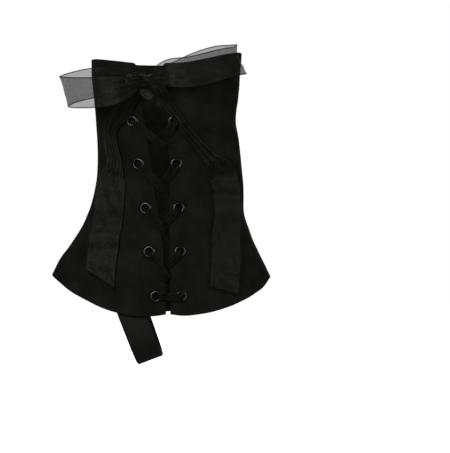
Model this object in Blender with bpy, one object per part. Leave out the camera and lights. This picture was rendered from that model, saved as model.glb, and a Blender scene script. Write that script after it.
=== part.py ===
"""A laced ankle spat for a heeled shoe, worn: a hollow cloth tube that flares over heel and instep.

Frame: +X to the toe, +Z up the leg, the laced outer side faces -Y. The origin is on the leg's axis
at the ankle, where the wearer holds the spat. Lengths in the tables are millimetres.
"""

import math
from collections import namedtuple

import bmesh
import bpy
import numpy as np

MM = 0.001

# ---------------------------------------------------------------- driving dimensions, mm
WALL = 2.0  # the doubled cloth
GAP = 0.3  # between pieces that are sewn together or touch
RIBBON = 1.0  # wall that stands for the sheer ribbon
STRAP_WALL = 1.5
STRAP_WIDTH = 19.0
STRAP_DROP = 35.0  # from the hem to the underside of the arch
STRAP_TUCK = 12.0  # sewn inside the hem
STRAP_LEAN = math.radians(20.7)  # the strap runs forward as it goes down
STRAP_AT_HEM = -23.9  # x of the strap's middle where it passes the hem
HOLE_RADIUS = 3.2  # in the cloth, round the eyelet's barrel

# Level sections of the worn spat: height, reach of the back and front seam from the leg's axis,
# half width, and how full the oval's back and front are (2 is an ellipse, less is more pointed).
Section = namedtuple("Section", "z back front half_width full_back full_front")
SECTIONS = [
    Section(-150, 104.0, 92.0, 44.0, 1.90, 1.75),
    Section(-136, 98.0, 87.0, 43.6, 1.90, 1.75),
    Section(-121, 91.5, 80.5, 43.0, 1.90, 1.75),
    Section(-106, 83.6, 74.2, 42.4, 1.92, 1.78),
    Section(-94, 77.6, 68.4, 41.8, 1.95, 1.82),
    Section(-83, 69.4, 63.2, 41.2, 1.98, 1.88),
    Section(-71, 61.8, 59.2, 40.6, 2.00, 1.94),
    Section(-60, 56.8, 55.7, 40.2, 2.05, 2.00),
    Section(-48, 52.9, 55.2, 39.9, 2.10, 2.05),
    Section(-36, 50.8, 54.7, 39.7, 2.10, 2.05),
    Section(-21, 50.1, 53.0, 39.8, 2.10, 2.05),
    Section(-7, 50.4, 51.4, 40.4, 2.10, 2.05),
    Section(6, 51.3, 49.4, 41.4, 2.10, 2.05),
    Section(21, 52.6, 50.9, 43.2, 2.10, 2.08),
    Section(36, 54.0, 52.2, 45.2, 2.10, 2.10),
    Section(50, 54.6, 53.4, 46.8, 2.10, 2.10),
    Section(62, 55.0, 54.0, 47.8, 2.10, 2.10),
]

# The hem's height along the spat, seen from the laced side.
Hem = namedtuple("Hem", "x z")
HEM = [
    Hem(-100, -92.0),
    Hem(-90, -99.0),
    Hem(-83, -105.0),
    Hem(-78, -109.0),
    Hem(-69, -115.8),
    Hem(-59, -121.2),
    Hem(-46, -127.4),
    Hem(-33, -131.4),
    Hem(-20, -133.6),
    Hem(-8, -133.2),
    Hem(2, -132.0),
    Hem(12, -133.0),
    Hem(24, -132.0),
    Hem(36, -129.6),
    Hem(52, -123.8),
    Hem(63, -118.0),
    Hem(71, -111.8),
    Hem(75, -106.0),
    Hem(90, -92.0),
]

# The top edge's height: it dips at the lacing and rises to the front seam.
Top = namedtuple("Top", "x laced_side plain_side")
TOP = [
    Top(-60, 50.6, 50.6),
    Top(-54, 50.0, 50.0),
    Top(-38, 47.6, 49.0),
    Top(-21, 45.4, 48.4),
    Top(-2, 45.4, 48.4),
    Top(12, 45.8, 49.4),
    Top(24, 48.0, 50.8),
    Top(40, 51.8, 52.6),
    Top(54, 55.0, 55.0),
    Top(60, 56.0, 56.0),
]

# The two edges that lace together: a long V, nearly closed from the shoe's top down.
Opening = namedtuple("Opening", "z back front")
OPENING = [
    Opening(-150, 0.3, 3.4),
    Opening(-128, 0.0, 3.2),
    Opening(-106, -0.4, 3.0),
    Opening(-57, -6.2, 2.4),
    Opening(-7, -13.6, 1.8),
    Opening(27, -18.6, -0.6),
    Opening(56, -22.8, -3.4),
]
CORNER_RADIUS = 3.0  # where the top edge turns into a lacing edge

# Where each pair of eyelets is set, from the top pair down.
EyeletPair = namedtuple("EyeletPair", "back front z")
EYELET_PAIRS = [
    EyeletPair(-28.0, 5.4, 35.0),
    EyeletPair(-24.1, 5.8, 4.4),
    EyeletPair(-19.8, 7.4, -25.6),
    EyeletPair(-14.6, 9.0, -57.0),
    EyeletPair(-12.0, 10.1, -87.8),
    EyeletPair(-7.2, 11.0, -119.4),
]

# An eyelet's turned profile: radius, and height over the cloth's outer face.
EyeletPoint = namedtuple("EyeletPoint", "r h")
EYELET_PROFILE = [
    EyeletPoint(2.4, 0.9),
    EyeletPoint(3.4, 1.3),
    EyeletPoint(4.6, 0.35),
    EyeletPoint(2.9, 0.35),
    EyeletPoint(2.9, -2.7),
    EyeletPoint(4.1, -2.7),
    EyeletPoint(3.8, -3.2),
    EyeletPoint(2.4, -3.2),
]
EYELET_SIDES = 12

# Seen from the laced side the strands run straight from eyelet to eyelet. One from a back eyelet
# passes under the front edge at this share of the way down to the next row. One from a front eyelet
# leaves its edge at the other share, and runs down and under the back edge.
BACK_STRAND_REACH = 0.70
FRONT_STRAND_LEAVE = 0.24
STRAND_OVER = 1.0  # a strand's middle over a panel's outer face
STRAND_BELOW_EDGE = -2.9  # and where it passes under a panel's edge
DIVE_FROM_FRONT_EDGE = 3.4  # both dive near the front edge, or midway in a narrow opening
DIVE_LENGTH = 4.0
DIVE_SHARE = 0.52  # of a narrow opening

# The bow's knot: its middle over the form, and its half sizes.
Knot = namedtuple("Knot", "x z height across tall deep")
KNOT = Knot(-12.2, 33.0, 7.4, 5.6, 5.2, 3.6)

# The bow's loops: middle of the ribbon along the loop, its half width, how far its lower edge
# leans to the front, and how far its face is rolled. Out of the knot along the face nearer the
# viewer, round the end, and back along the leg.
LoopRow = namedtuple("LoopRow", "x y z half_width lean roll")
BACK_LOOP = [
    LoopRow(-19.2, -52.5, 31.2, 3.4, 6, 0),
    LoopRow(-27.0, -56.5, 28.0, 7.6, 4, 0),
    LoopRow(-38.0, -56.6, 25.2, 10.2, 3, 0),
    LoopRow(-52.0, -52.0, 24.2, 10.9, 5, 0),
    LoopRow(-64.0, -45.0, 24.4, 11.0, 10, 0),
    LoopRow(-71.0, -38.5, 25.3, 11.0, 16, 0),
    LoopRow(-71.6, -33.4, 26.4, 11.0, 16, 0),
    LoopRow(-66.0, -31.0, 28.8, 11.0, 11, 0),
    LoopRow(-54.0, -34.6, 31.4, 10.9, 6, 0),
    LoopRow(-41.0, -41.4, 32.8, 10.0, 2, 0),
    LoopRow(-30.0, -46.6, 33.8, 7.0, 2, 0),
    LoopRow(-19.9, -49.4, 34.8, 3.2, 4, 0),
]
FRONT_LOOP = [
    LoopRow(-7.2, -52.7, 32.3, 3.3, 4, 0),
    LoopRow(-2.6, -55.2, 35.4, 7.4, 3, 0),
    LoopRow(4.6, -58.0, 37.0, 9.6, 2, 0),
    LoopRow(17.0, -59.8, 38.2, 10.6, 6, 0),
    LoopRow(30.0, -57.6, 41.4, 11.0, 12, 6),
    LoopRow(42.4, -49.8, 45.2, 11.0, 20, 10),
    LoopRow(50.6, -40.4, 47.2, 11.0, 27, 4),
    LoopRow(52.2, -35.0, 47.8, 11.0, 27, 0),
    LoopRow(47.8, -32.6, 48.4, 11.0, 23, 0),
    LoopRow(37.0, -40.2, 47.2, 10.8, 16, 0),
    LoopRow(23.0, -47.2, 43.6, 9.8, 9, 0),
    LoopRow(9.0, -51.4, 39.2, 7.0, 5, 0),
    LoopRow(-7.0, -49.9, 34.8, 3.0, 4, 0),
]

# The bow's tails: height, x of the edge nearer the lacing, shown width (the ribbon is folded
# lengthwise where that is less than 22), how far the ribbon turns from the viewer, and how far
# that edge stands off the cloth. The last column drops the outer edge, for the slanting cut.
TailRow = namedtuple("TailRow", "z inner width turn lift slant")
BACK_TAIL = [
    TailRow(27.4, -12.8, 6.0, 0, 8.0, 0.0),
    TailRow(18.0, -19.6, 11.0, 6, 4.4, 2.0),
    TailRow(11.0, -24.6, 13.0, 12, 3.0, 2.0),
    TailRow(5.0, -30.0, 10.8, 16, 2.4, 0.0),
    TailRow(-1.0, -33.8, 9.2, 16, 2.2, 0.0),
    TailRow(-10.0, -33.6, 9.6, 16, 2.0, 0.0),
    TailRow(-21.7, -31.0, 10.2, 17, 1.6, 0.0),
    TailRow(-29.5, -29.2, 14.0, 18, 1.4, 0.0),
    TailRow(-36.6, -28.2, 20.6, 18, 1.4, 0.0),
    TailRow(-47.6, -28.4, 22.0, 16, 1.3, 0.0),
    TailRow(-60.4, -29.8, 22.0, 14, 1.2, 0.0),
    TailRow(-78.0, -32.6, 22.0, 12, 1.2, 0.0),
    TailRow(-95.7, -34.6, 22.0, 12, 1.2, 3.0),
    TailRow(-113.6, -36.2, 22.0, 12, 1.2, 12.0),
]
FRONT_TAIL = [
    TailRow(27.4, -8.8, 5.0, 0, 7.0, 0.0),
    TailRow(18.0, -2.4, 6.4, 4, 3.8, 0.0),
    TailRow(6.8, 5.2, 6.4, 8, 3.6, 0.0),
    TailRow(-3.8, 13.4, 6.0, 14, 2.8, 0.0),
    TailRow(-17.2, 22.6, 8.6, 20, 1.4, 0.0),
    TailRow(-25.0, 27.8, 12.6, 23, 1.2, 0.0),
    TailRow(-30.0, 29.6, 18.0, 25, 1.2, 0.0),
    TailRow(-36.0, 31.0, 22.0, 26, 1.2, 0.0),
    TailRow(-47.0, 33.0, 22.0, 27, 1.2, 0.0),
    TailRow(-60.4, 33.3, 22.0, 26, 1.2, 0.0),
    TailRow(-78.0, 32.4, 22.0, 24, 1.2, 0.0),
    TailRow(-95.7, 31.8, 22.0, 22, 1.2, 0.0),
    TailRow(-114.6, 30.6, 22.0, 22, 1.2, -4.0),
]

# Materials: colour, roughness, metallic.
Finish = namedtuple("Finish", "colour roughness metallic")
FINISHES = {
    "black_cloth": Finish((0.012, 0.012, 0.010), 0.95, 0.0),
    "sheer_ribbon": Finish((0.045, 0.043, 0.038), 0.6, 0.0),
    "black_nickel": Finish((0.10, 0.10, 0.095), 0.3, 1.0),
    "elastic": Finish((0.014, 0.014, 0.013), 0.9, 0.0),
}


# ---------------------------------------------------------------- the worn form
def curve_through(rows, key, column):
    """A smooth curve through one column of a table, as a function of its key column."""
    knots = np.array([getattr(row, key) for row in rows], float)
    values = np.array([getattr(row, column) for row in rows], float)
    slopes = np.gradient(values, knots)

    def at(q):
        q = min(max(q, knots[0]), knots[-1])
        i = min(max(int(np.searchsorted(knots, q)) - 1, 0), len(knots) - 2)
        span = knots[i + 1] - knots[i]
        t = (q - knots[i]) / span
        start = (1 + 2 * t) * (1 - t) ** 2 * values[i] + t * (1 - t) ** 2 * span * slopes[i]
        end = t * t * (3 - 2 * t) * values[i + 1] + t * t * (t - 1) * span * slopes[i + 1]
        return float(start + end)

    return at


SECTION = {c: curve_through(SECTIONS, "z", c) for c in Section._fields[1:]}
hem_at = curve_through(HEM, "x", "z")
top_laced = curve_through(TOP, "x", "laced_side")
top_plain = curve_through(TOP, "x", "plain_side")
edge_back = curve_through(OPENING, "z", "back")
edge_front = curve_through(OPENING, "z", "front")


def half_oval(x, z):
    """(reach, fullness) of the half of the section at height z that x lies in."""
    side = "back" if x < 0 else "front"
    return SECTION[side](z), SECTION["full_" + side](z)


def ring_point(angle, z, side):
    """A point of the section at height z. Angle 0 is the back seam and pi the front seam; side is
    -1 on the laced side and 1 on the plain one."""
    forward = -math.cos(angle)
    reach, full = half_oval(forward, z)
    x = math.copysign(reach * abs(forward) ** (2 / full), forward)
    y = SECTION["half_width"](z) * abs(math.sin(angle)) ** (2 / full) + GAP / 2
    return np.array([x, side * y, z])


def ring_angle(x, z):
    """The angle at which a section passes x."""
    reach, full = half_oval(x, z)
    share = min(abs(x) / reach, 1.0) ** (full / 2)
    return math.acos(-math.copysign(share, x))


def on_form(x, z, height=0.0, side=-1):
    """The point over (x, z) on the worn form, moved out along its normal by height."""
    step = 0.4
    at = ring_point(ring_angle(x, z), z, side)
    ahead = ring_point(ring_angle(x + step, z), z, side)
    above = ring_point(ring_angle(x, z + step), z + step, side)
    out = np.cross(ahead - at, above - at) * -side
    return at + out / np.linalg.norm(out) * height


def normal_on_form(x, z):
    return on_form(x, z, 1.0) - on_form(x, z, 0.0)


def hem_height(angle, side):
    """The hem's height at a ring angle: the section grows as it goes down, so it is solved."""
    z = HEM[0].z
    for _ in range(30):
        z = 0.5 * (z + hem_at(ring_point(angle, z, side)[0]))
    return z


# ---------------------------------------------------------------- making solids
def material(name):
    found = bpy.data.materials.get(name)
    if found:
        return found
    finish = FINISHES[name]
    made = bpy.data.materials.new(name)
    made.use_nodes = True
    shader = made.node_tree.nodes["Principled BSDF"]
    shader.inputs["Base Color"].default_value = (*finish.colour, 1)
    shader.inputs["Roughness"].default_value = finish.roughness
    shader.inputs["Metallic"].default_value = finish.metallic
    return made


def add_solid(name, points, faces, material_name):
    """One named object from points in mm and faces, with its faces turned outwards."""
    mesh = bpy.data.meshes.new(name)
    mesh.from_pydata([tuple(float(c) * MM for c in p) for p in points], [], faces)
    work = bmesh.new()
    work.from_mesh(mesh)
    bmesh.ops.recalc_face_normals(work, faces=work.faces)
    work.to_mesh(mesh)
    work.free()
    mesh.shade_smooth()
    mesh.set_sharp_from_angle(angle=math.radians(40))
    made = bpy.data.objects.new(name, mesh)
    bpy.context.scene.collection.objects.link(made)
    mesh.materials.append(material(material_name))
    return made


def wall(name, outer, inner, material_name):
    """The closed wall between two grids of points with the same rows and columns."""
    rows, columns = len(outer), len(outer[0])
    points = [p for grid in (outer, inner) for row in grid for p in row]
    back = rows * columns

    def at(i, j):
        return i * columns + j

    faces = []
    for i in range(rows - 1):
        for j in range(columns - 1):
            quad = (at(i, j), at(i + 1, j), at(i + 1, j + 1), at(i, j + 1))
            faces.append(quad)
            faces.append(tuple(back + k for k in reversed(quad)))
    rim = [at(i, 0) for i in range(rows)]
    rim += [at(rows - 1, j) for j in range(1, columns)]
    rim += [at(i, columns - 1) for i in range(rows - 2, -1, -1)]
    rim += [at(0, j) for j in range(columns - 2, 0, -1)]
    for a, b in zip(rim, rim[1:] + rim[:1]):
        faces.append((b, a, back + a, back + b))
    return add_solid(name, points, faces, material_name)


def swept(name, rings, material_name):
    """A closed solid through rings of the same number of points, with both ends capped."""
    count = len(rings[0])
    points = [p for ring in rings for p in ring]
    faces = []
    for i in range(len(rings) - 1):
        for j in range(count):
            k = (j + 1) % count
            faces.append((i * count + j, i * count + k, (i + 1) * count + k, (i + 1) * count + j))
    faces.append(tuple(reversed(range(count))))
    faces.append(tuple((len(rings) - 1) * count + j for j in range(count)))
    return add_solid(name, points, faces, material_name)


def turned(name, profile, centre, axis, sides, material_name):
    """A ring turned from a closed profile of (radius, height) round an axis."""
    across = np.cross(axis, [0, 0, 1.0])
    across /= np.linalg.norm(across)
    up = np.cross(across, axis)
    points = []
    for k in range(sides):
        turn = 2 * math.pi * k / sides
        ray = across * math.cos(turn) + up * math.sin(turn)
        points += [centre + ray * p.r + axis * p.h for p in profile]
    count = len(profile)
    faces = []
    for k in range(sides):
        after = (k + 1) % sides
        for j in range(count):
            m = (j + 1) % count
            faces.append((k * count + j, k * count + m, after * count + m, after * count + j))
    return add_solid(name, points, faces, material_name)


def spline(rows, steps):
    """Rows of numbers, with steps - 1 more between each two, on a smooth curve through them."""
    rows = np.array(rows, float)
    padded = np.vstack([2 * rows[0] - rows[1], rows, 2 * rows[-1] - rows[-2]])
    out = []
    for i in range(1, len(padded) - 2):
        a, b, c, d = padded[i - 1 : i + 3]
        for k in range(steps):
            t = k / steps
            curve = 2 * b + (c - a) * t + (2 * a - 5 * b + 4 * c - d) * t**2
            out.append(0.5 * (curve + (3 * b - a - 3 * c + d) * t**3))
    out.append(rows[-1])
    return np.array(out)


# ---------------------------------------------------------------- cloth
PANEL_ROWS = 15
SIDE_COLUMNS = 12
LOWEST_Z = -130.0  # near the hem, where the panels' columns are set
EDGE_Z = 50.0  # near the top edge, where the columns meet it


def panel_grid(angles_at, top, side, seams):
    """Outer points of a panel and the normals there. angles_at(z) lists the ring angles of its
    columns. In a seam's column the wall is cut square to the leg's middle plane, so panels butt."""
    columns = len(angles_at(0.0))
    outer = [[None] * columns for _ in range(PANEL_ROWS)]
    for j in range(columns):
        low = hem_height(angles_at(LOWEST_Z)[j], side)
        high = top(j)
        for i in range(PANEL_ROWS):
            z = low + (high - low) * i / (PANEL_ROWS - 1)
            outer[i][j] = ring_point(angles_at(z)[j], z, side)
    outer = np.array(outer)
    normals = np.cross(np.gradient(outer, axis=1), np.gradient(outer, axis=0))
    normals /= np.linalg.norm(normals, axis=2, keepdims=True)
    if (normals[:, :, 1] * side).mean() < 0:
        normals = -normals
    for j in seams:
        normals[:, j, 1] = 0
        normals[:, j] /= np.linalg.norm(normals[:, j], axis=1, keepdims=True)
    return outer, normals


def column_shares():
    """Columns from a seam (0) to a lacing edge (1), closer together at the edge."""
    return np.append(np.linspace(0, 0.94, SIDE_COLUMNS - 2), [0.975, 1.0])


def laced_panel(name, edge, seam_angle):
    """One of the two quarters that lace together, from its seam to its lacing edge."""
    shares = column_shares()

    def angles_at(z):
        last = ring_angle(edge(z), z)
        return seam_angle + (last - seam_angle) * shares

    def top(j):
        x = ring_point(angles_at(EDGE_Z)[j], EDGE_Z, -1)[0]
        in_from_edge = min(abs(x - edge(EDGE_Z)), CORNER_RADIUS)
        round_off = CORNER_RADIUS - math.sqrt(
            max(CORNER_RADIUS**2 - (CORNER_RADIUS - in_from_edge) ** 2, 0)
        )
        return top_laced(x) - round_off

    outer, normals = panel_grid(angles_at, top, -1, [0])
    return wall(name, outer, outer - normals * WALL, "black_cloth")


def plain_panel(name):
    """The inner side of the leg, in one piece from the back seam to the front seam."""
    shares = np.linspace(0, 1, 2 * SIDE_COLUMNS - 2)

    def angles_at(z):
        return math.pi * shares

    def top(j):
        return top_plain(ring_point(math.pi * shares[j], EDGE_Z, 1)[0])

    outer, normals = panel_grid(angles_at, top, 1, [0, -1])
    return wall(name, outer, outer - normals * WALL, "black_cloth")


# ---------------------------------------------------------------- eyelets
def eyelet_place(column, row):
    """(x, z) of an eyelet: column is "back" or "front", row 0 is the top pair."""
    return getattr(EYELET_PAIRS[row], column), EYELET_PAIRS[row].z


def eyelet(name, column, row):
    x, z = eyelet_place(column, row)
    centre, axis = on_form(x, z), normal_on_form(x, z)
    return turned(name, EYELET_PROFILE, centre, axis, EYELET_SIDES, "black_nickel")


def punch_holes(panel, column):
    """Cuts the six round holes that a column of eyelets is set in."""
    points, faces, sides = [], [], 16
    for row in range(len(EYELET_PAIRS)):
        x, z = eyelet_place(column, row)
        centre, axis = on_form(x, z), normal_on_form(x, z)
        across = np.cross(axis, [0, 0, 1.0])
        across /= np.linalg.norm(across)
        up = np.cross(across, axis)
        first = len(points)
        for height in (-WALL - 3.0, 3.0):
            for k in range(sides):
                turn = 2 * math.pi * (k + 0.5) / sides
                ray = across * math.cos(turn) + up * math.sin(turn)
                points.append(centre + axis * height + ray * HOLE_RADIUS)
        low, high = [first + k for k in range(sides)], [first + sides + k for k in range(sides)]
        faces += [tuple(reversed(low)), tuple(high)]
        for k in range(sides):
            m = (k + 1) % sides
            faces.append((low[k], low[m], high[m], high[k]))
    cutter = add_solid(panel.name + "_holes", points, faces, "black_cloth")
    cutter.hide_render = True
    cutter.display_type = "WIRE"
    cut = panel.modifiers.new("holes", "BOOLEAN")
    cut.operation = "DIFFERENCE"
    cut.solver = "EXACT"
    cut.object = cutter


# ---------------------------------------------------------------- lacing
# A strand's stations: (x, z), height over the cloth's outer face, half width, half thickness.
Station = namedtuple("Station", "x z height half_width half_thick")
UNDER = -(WALL + GAP + 1.1)  # a strand's middle where it lies under a panel
PAST_EDGE = 2.6  # how far in from the edge it is there


def strand(name, stations, steps=2):
    """A flattened bundle of ribbon that follows the worn form through its stations."""
    rows = spline(stations, steps)
    path = np.array([on_form(r[0], r[1], r[2]) for r in rows])
    tangents = np.gradient(path, axis=0)
    tangents /= np.linalg.norm(tangents, axis=1, keepdims=True)
    rings = []
    side = None
    for row, at, tangent in zip(rows, path, tangents):
        normal = normal_on_form(row[0], row[1])
        lying = np.cross(normal, tangent)
        if np.linalg.norm(lying) > 0.35 or side is None:
            side = lying / max(np.linalg.norm(lying), 1e-9)
        side = side - tangent * side.dot(tangent)
        side /= np.linalg.norm(side)
        thick = np.cross(tangent, side)
        w, t = side * row[3], thick * row[4]
        rings.append([at - w - t, at + w - t, at + w + t, at - w + t])
    return swept(name, rings, "sheer_ribbon")


def out_of_eyelet(at, towards):
    """Stations from inside an eyelet's bore, over its flange and down onto the cloth."""
    (x, z), way = at, np.array(towards) - np.array(at)
    way = way / np.linalg.norm(way)
    return [
        Station(x - 0.3 * way[0], z - 0.3 * way[1], -1.2, 1.4, 0.8),
        Station(x, z, 0.9, 1.5, 0.7),
        Station(x + 1.9 * way[0], z + 1.9 * way[1], 2.4, 2.0, 0.6),
        Station(x + 4.4 * way[0], z + 4.4 * way[1], 2.0, 2.5, 0.55),
        Station(x + 7.0 * way[0], z + 7.0 * way[1], 1.05, 2.9, 0.5),
    ]


def up_into_eyelet(at, coming_from):
    """Stations from under a panel, round the eyelet's rim and up into its bore."""
    (x, z), way = at, np.array(at) - np.array(coming_from)
    way = way / np.linalg.norm(way)
    return [
        Station(x - 7.2 * way[0], z - 7.2 * way[1], UNDER - 0.2, 2.2, 0.5),
        Station(x - 4.4 * way[0], z - 4.4 * way[1], -4.6, 2.0, 0.5),
        Station(x - 1.6 * way[0], z - 1.6 * way[1], -4.7, 1.6, 0.6),
        Station(x + 0.1 * way[0], z + 0.1 * way[1], -3.3, 1.4, 0.7),
        Station(x + 0.2 * way[0], z + 0.2 * way[1], -1.9, 1.4, 0.8),
    ]


def meet_edge(start, finish, edge):
    """Where the straight line from start to finish, both (x, z), meets a lacing edge."""
    share = 0.5
    for _ in range(30):
        z = start[1] + (finish[1] - start[1]) * share
        share = (edge(z) - start[0]) / (finish[0] - start[0])
    return edge(z), z


def crossing_strand(name, row, column):
    """From an eyelet over its own panel, down through the opening, and under the other panel to
    the next eyelet down. The strand from the back lies over the other one."""
    other = "front" if column == "back" else "back"
    start, finish = eyelet_place(column, row), eyelet_place(other, row + 1)
    from_back = column == "back"
    z = start[1] + (finish[1] - start[1]) * (BACK_STRAND_REACH if from_back else FRONT_STRAND_LEAVE)
    at_front = (edge_front(z), z)
    if from_back:
        leave, reach = meet_edge(start, at_front, edge_back), at_front
    else:
        leave, reach = at_front, meet_edge(at_front, finish, edge_back)
    gap = abs(reach[0] - leave[0])
    from_edge = min(gap / 2, DIVE_FROM_FRONT_EDGE)
    centre = gap - from_edge if from_back else from_edge
    half = min(DIVE_SHARE * gap, DIVE_LENGTH) / 2
    marks = [(0.0, STRAND_OVER)] if centre - half > 1 else []
    marks += [(centre - half, STRAND_OVER), (centre, (STRAND_OVER + STRAND_BELOW_EDGE) / 2)]
    marks += [(centre + half, STRAND_BELOW_EDGE)]
    marks += [(gap, STRAND_BELOW_EDGE)] if gap - centre - half > 1 else []
    half_width = 0.8 + min(gap / 12, 0.8)
    stations = out_of_eyelet(start, leave)
    for across, height in marks:
        x, z = (a + (b - a) * across / gap for a, b in zip(leave, reach))
        stations.append(Station(x, z, height, half_width, 0.4))
    onward = np.subtract(finish, reach)
    past = np.array(reach) + onward * PAST_EDGE / np.hypot(*onward)
    stations.append(Station(*past, UNDER, 1.6, 0.5))
    return strand(name, stations + up_into_eyelet(finish, past))


def bar_strand(name, start, finish):
    """The straight bar over the bottom pair of eyelets."""
    ahead = out_of_eyelet(start, finish)[:4]
    back = out_of_eyelet(finish, start)[:4]
    middle = [(a + b) / 2 for a, b in zip(start, finish)]
    return strand(name, ahead + [Station(*middle, 1.5, 2.2, 0.5)] + back[::-1])


def end_strand(name, start, edge, way):
    """From a top eyelet, under the panel, out through the opening and up to the knot."""
    brink = (edge(start[1]) + 2.2 * way, start[1] - 1.0)
    landing = (KNOT.x - 1.9 * way, KNOT.z - 0.4)
    inward = up_into_eyelet(start, brink)[::-1]
    stations = inward + [
        Station(*brink, UNDER + 1.0, 1.8, 0.5),
        Station((brink[0] + landing[0]) / 2, landing[1], 0.2, 1.6, 0.5),
        Station(*landing, 3.0, 1.4, 0.5),
    ]
    return strand(name, stations)


# ---------------------------------------------------------------- the bow


def knot(name):
    """The wrapped knot: a rounded lump that stands off the opening."""
    centre = on_form(KNOT.x, KNOT.z, KNOT.height)
    rings, sides, levels = [], 10, 6
    for i in range(levels + 1):
        lift = -1 + 2 * i / levels
        size = math.sqrt(max(1 - 0.92 * lift * lift, 0))
        ring = []
        for k in range(sides):
            turn = 2 * math.pi * k / sides
            x = KNOT.across * size * math.cos(turn)
            z = KNOT.tall * size * math.sin(turn)
            ring.append(centre + np.array([x, KNOT.deep * lift, z]))
        rings.append(ring)
    return swept(name, rings, "sheer_ribbon")


def loop(name, rows):
    """A ribbon loop: across each station the ribbon spans its width, leaning and rolled."""
    stations = spline(rows, 3)
    path = stations[:, :3]
    tangents = np.gradient(path, axis=0)
    tangents /= np.linalg.norm(tangents, axis=1, keepdims=True)
    outer, inner = [], []
    for row, at, tangent in zip(stations, path, tangents):
        lean, roll = math.radians(row[4]), math.radians(row[5])
        down = np.array([math.sin(lean), -math.sin(roll), -math.cos(lean) * math.cos(roll)])
        down -= tangent * down.dot(tangent)
        down /= np.linalg.norm(down)
        thick = np.cross(tangent, down) * RIBBON / 2
        across = [at + down * row[3] * s for s in (-1.0, 0.0, 1.0)]
        outer.append([p + thick for p in across])
        inner.append([p - thick for p in across])
    return wall(name, outer, inner, "sheer_ribbon")


def tail(name, rows, way):
    """A hanging end of the ribbon. way is -1 where it spreads to the back and 1 to the front."""
    stations = spline(rows, 2)
    outer, inner = [], []
    for z, start, width, turn, lift, slant in stations:
        near = on_form(start, z, lift)
        turn = math.radians(turn)
        run = np.array([way * math.cos(turn), math.sin(turn), slant / max(width, 1.0)])
        facing = np.array([way * math.sin(turn), -math.cos(turn), 0.0])
        across = [near + run * width * s for s in (0, 1 / 3, 2 / 3, 1)]
        outer.append([p + facing * RIBBON for p in across])
        inner.append(across)
    return wall(name, outer, inner, "sheer_ribbon")


# ---------------------------------------------------------------- the strap under the shoe
def strap(name):
    """A band in one plane, sewn inside the hem of both sides and passing under the arch."""
    down = np.array([math.sin(STRAP_LEAN), 0, -math.cos(STRAP_LEAN)])
    across = np.array([math.cos(STRAP_LEAN), 0, math.sin(STRAP_LEAN)])
    hem_middle = np.array([STRAP_AT_HEM, 0, hem_at(STRAP_AT_HEM)])
    face = -(WALL + GAP + 0.4)
    profile = [(-STRAP_TUCK, 1.0), (-STRAP_TUCK / 2, 1.0), (0.0, 1.0)]
    for k in range(1, 9):
        turn = math.pi / 2 * k / 8
        profile.append((STRAP_DROP * math.sin(turn) ** 0.8, math.cos(turn) ** 0.8))
    profile[-1] = (STRAP_DROP, 0.0)
    grids = []
    for inset in (0.0, STRAP_WALL):
        grid = []
        for s in (-0.5, -0.25, 0.0, 0.25, 0.5):
            line = []
            for drop, share in profile:
                at = hem_middle + across * STRAP_WIDTH * s + down * drop
                held = hem_middle + across * STRAP_WIDTH * s + down * min(drop, 0)
                width = on_form(held[0], held[2], face - inset, 1)[1]
                line.append([at[0], width * share, at[2]])
            line = np.array(line)
            below = line[:, 1] < line[:1, 1] * 0.999
            line[below] -= down * inset * (1 - line[below, 1:2] / line[0, 1])
            mirrored = line[:-1] * np.array([1, -1, 1])
            grid.append(np.vstack([mirrored, line[::-1]]))
        grids.append(np.array(grid))
    return wall(name, grids[0], grids[1], "elastic")


# ---------------------------------------------------------------- build
def main():
    for existing in list(bpy.data.objects):
        bpy.data.objects.remove(existing)
    back = laced_panel("outer_back", edge_back, 0.0)
    front = laced_panel("outer_front", edge_front, math.pi)
    plain_panel("inner_side")
    strap("stirrup_strap")
    punch_holes(back, "back")
    punch_holes(front, "front")
    rows = len(EYELET_PAIRS)
    for row in range(rows):
        for column in ("back", "front"):
            eyelet(f"eyelet_{column}_{row + 1}", column, row)
    for row in range(rows - 1):
        for column in ("back", "front"):
            crossing_strand(f"lace_from_{column}_{row + 1}", row, column)
    bar_strand("lace_bar", eyelet_place("back", rows - 1), eyelet_place("front", rows - 1))
    end_strand("lace_end_back", eyelet_place("back", 0), edge_back, 1)
    end_strand("lace_end_front", eyelet_place("front", 0), edge_front, -1)
    knot("bow_knot")
    loop("bow_loop_back", BACK_LOOP)
    loop("bow_loop_front", FRONT_LOOP)
    tail("bow_tail_back", BACK_TAIL, -1)
    tail("bow_tail_front", FRONT_TAIL, 1)


main()
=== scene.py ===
"""The looks of a laced black ankle spat, worn: felted cloth, black nickel eyelets, a sheer ribbon
laced through them and tied in a bow, and an elastic strap. Tables are in millimetres, in the
part's own frame: +X to the toe, +Z up the leg, and the laced side faces -Y.
"""

import math
from collections import namedtuple

import bpy
import numpy as np
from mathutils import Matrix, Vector, noise


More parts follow.
